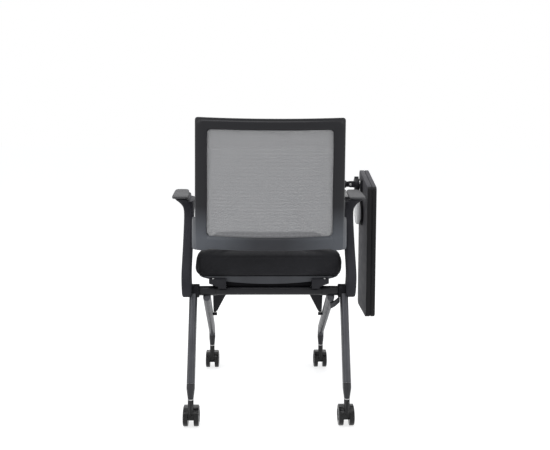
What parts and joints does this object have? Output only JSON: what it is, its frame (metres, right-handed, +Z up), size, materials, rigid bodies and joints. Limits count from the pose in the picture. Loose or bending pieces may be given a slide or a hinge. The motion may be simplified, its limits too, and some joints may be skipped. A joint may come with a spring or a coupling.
{
  "type": "tablet_arm_chair",
  "caption": "Nesting tablet arm chair: mesh back, flip-up padded seat, two arms with pads, fold-away writing tablet on the right, tubular legs on twin-wheel swivel casters",
  "frame": {"origin": "floor level, under the middle of the chair's box", "axes": "+X to the sitter's right (the tablet side), +Y the way the chair faces, +Z up"},
  "size_m": [0.6502, 0.5886, 0.892],
  "materials": {
    "back_plastic": "fine grained, satin",
    "mesh_fabric": "open knitted mesh",
    "arm_plastic": "fine grained",
    "pad_plastic": "soft satin",
    "dark_metal": "satin powder coat",
    "dark_plastic": "moulded",
    "grey_metal": "silver grey powder coat",
    "bare_steel": "zinc plated",
    "seat_fabric": "woven upholstery",
    "shell_plastic": "moulded, satin",
    "bumper_rubber": "moulded",
    "tablet_plastic": "fine grained",
    "core_plastic": "groove",
    "light_plastic": "smooth",
    "wheel_plastic": "moulded nylon"
  },
  "bodies": {
    "frame": {"back_frame": "back_plastic", "back_mesh": "mesh_fabric", "left_back_wing": "back_plastic", "right_back_wing": "back_plastic", "left_arm": "arm_plastic", "right_arm": "arm_plastic", "left_arm_pad": "pad_plastic", "right_arm_pad": "pad_plastic", "tablet_bracket": "dark_metal", "cross_tube": "dark_metal", "left_sleeve": "dark_metal", "right_sleeve": "dark_metal", "left_joint_block": "dark_plastic", "right_joint_block": "dark_plastic", "left_rear_leg": "grey_metal", "right_rear_leg": "grey_metal", "left_front_leg": "grey_metal", "right_front_leg": "grey_metal", "rear_leg_plugs": "dark_plastic", "front_leg_plugs": "dark_plastic", "seat_stop_pins": "dark_metal", "right_leg_brace": "grey_metal", "arm_bolts": "bare_steel", "pad_screws": "bare_steel"},
    "seat": {"seat_cushion": "seat_fabric", "seat_shell": "shell_plastic", "left_seat_clamp": "dark_metal", "right_seat_clamp": "dark_metal", "left_seat_strut": "dark_metal", "right_seat_strut": "dark_metal", "strut_bumpers": "bumper_rubber", "seat_screws": "bare_steel", "seat_cross_plate": "dark_metal"},
    "tablet_swing": {"tablet_shaft": "dark_metal"},
    "tablet": {"tablet_hinge": "dark_metal", "tablet_tilt_pin": "bare_steel", "tablet_mount_plate": "dark_metal", "tablet_underside": "tablet_plastic", "tablet_core": "core_plastic", "tablet_top": "tablet_plastic", "tablet_hinge_cap": "light_plastic", "tablet_cap_ring": "dark_plastic", "tablet_screws": "bare_steel"},
    "rear_left_caster": {"rear_left_caster_body": "wheel_plastic", "rear_left_caster_stem": "bare_steel", "rear_left_axle": "bare_steel"},
    "rear_left_wheel": {"rear_left_wheels": "wheel_plastic"},
    "rear_right_caster": {"rear_right_caster_body": "wheel_plastic", "rear_right_caster_stem": "bare_steel", "rear_right_axle": "bare_steel"},
    "rear_right_wheel": {"rear_right_wheels": "wheel_plastic"},
    "front_left_caster": {"front_left_caster_body": "wheel_plastic", "front_left_caster_stem": "bare_steel", "front_left_axle": "bare_steel"},
    "front_left_wheel": {"front_left_wheels": "wheel_plastic"},
    "front_right_caster": {"front_right_caster_body": "wheel_plastic", "front_right_caster_stem": "bare_steel", "front_right_axle": "bare_steel"},
    "front_right_wheel": {"front_right_wheels": "wheel_plastic"}
  },
  "joints": [
    {"name": "seat_fold", "type": "hinge", "parent": "frame", "child": "seat", "pos_m": [-0.02094, -0.13665, 0.376], "axis": [1, 0, 0], "range_deg": [0, 60]},
    {"name": "tablet_swing", "type": "hinge", "parent": "frame", "child": "tablet_swing", "pos_m": [0.22606, 0.16335, 0.668], "axis": [1, 0, 0], "range_deg": [0, 180]},
    {"name": "tablet_tilt", "type": "hinge", "parent": "tablet_swing", "child": "tablet", "pos_m": [0.25906, 0.16335, 0.668], "axis": [0, 1, 0], "range_deg": [0, 90]},
    {"name": "rear_left_swivel", "type": "hinge", "parent": "frame", "child": "rear_left_caster", "pos_m": [-0.24494, -0.23665, 0.095], "axis": [0, 0, 1], "continuous": true},
    {"name": "rear_left_roll", "type": "hinge", "parent": "rear_left_caster", "child": "rear_left_wheel", "pos_m": [-0.24494, -0.21665, 0.029], "axis": [1, 0, 0], "continuous": true},
    {"name": "rear_right_swivel", "type": "hinge", "parent": "frame", "child": "rear_right_caster", "pos_m": [0.20306, -0.23665, 0.095], "axis": [0, 0, 1], "continuous": true},
    {"name": "rear_right_roll", "type": "hinge", "parent": "rear_right_caster", "child": "rear_right_wheel", "pos_m": [0.20306, -0.21665, 0.029], "axis": [1, 0, 0], "continuous": true},
    {"name": "front_left_swivel", "type": "hinge", "parent": "frame", "child": "front_left_caster", "pos_m": [-0.21344, 0.24535, 0.095], "axis": [0, 0, 1], "continuous": true},
    {"name": "front_left_roll", "type": "hinge", "parent": "front_left_caster", "child": "front_left_wheel", "pos_m": [-0.21344, 0.26535, 0.029], "axis": [1, 0, 0], "continuous": true},
    {"name": "front_right_swivel", "type": "hinge", "parent": "frame", "child": "front_right_caster", "pos_m": [0.17156, 0.24535, 0.095], "axis": [0, 0, 1], "continuous": true},
    {"name": "front_right_roll", "type": "hinge", "parent": "front_right_caster", "child": "front_right_wheel", "pos_m": [0.17156, 0.26535, 0.029], "axis": [1, 0, 0], "continuous": true}
  ],
  "couplings": [
    {"joint": "tablet_tilt", "follows": "tablet_swing", "ratio": 0.5}
  ]
}
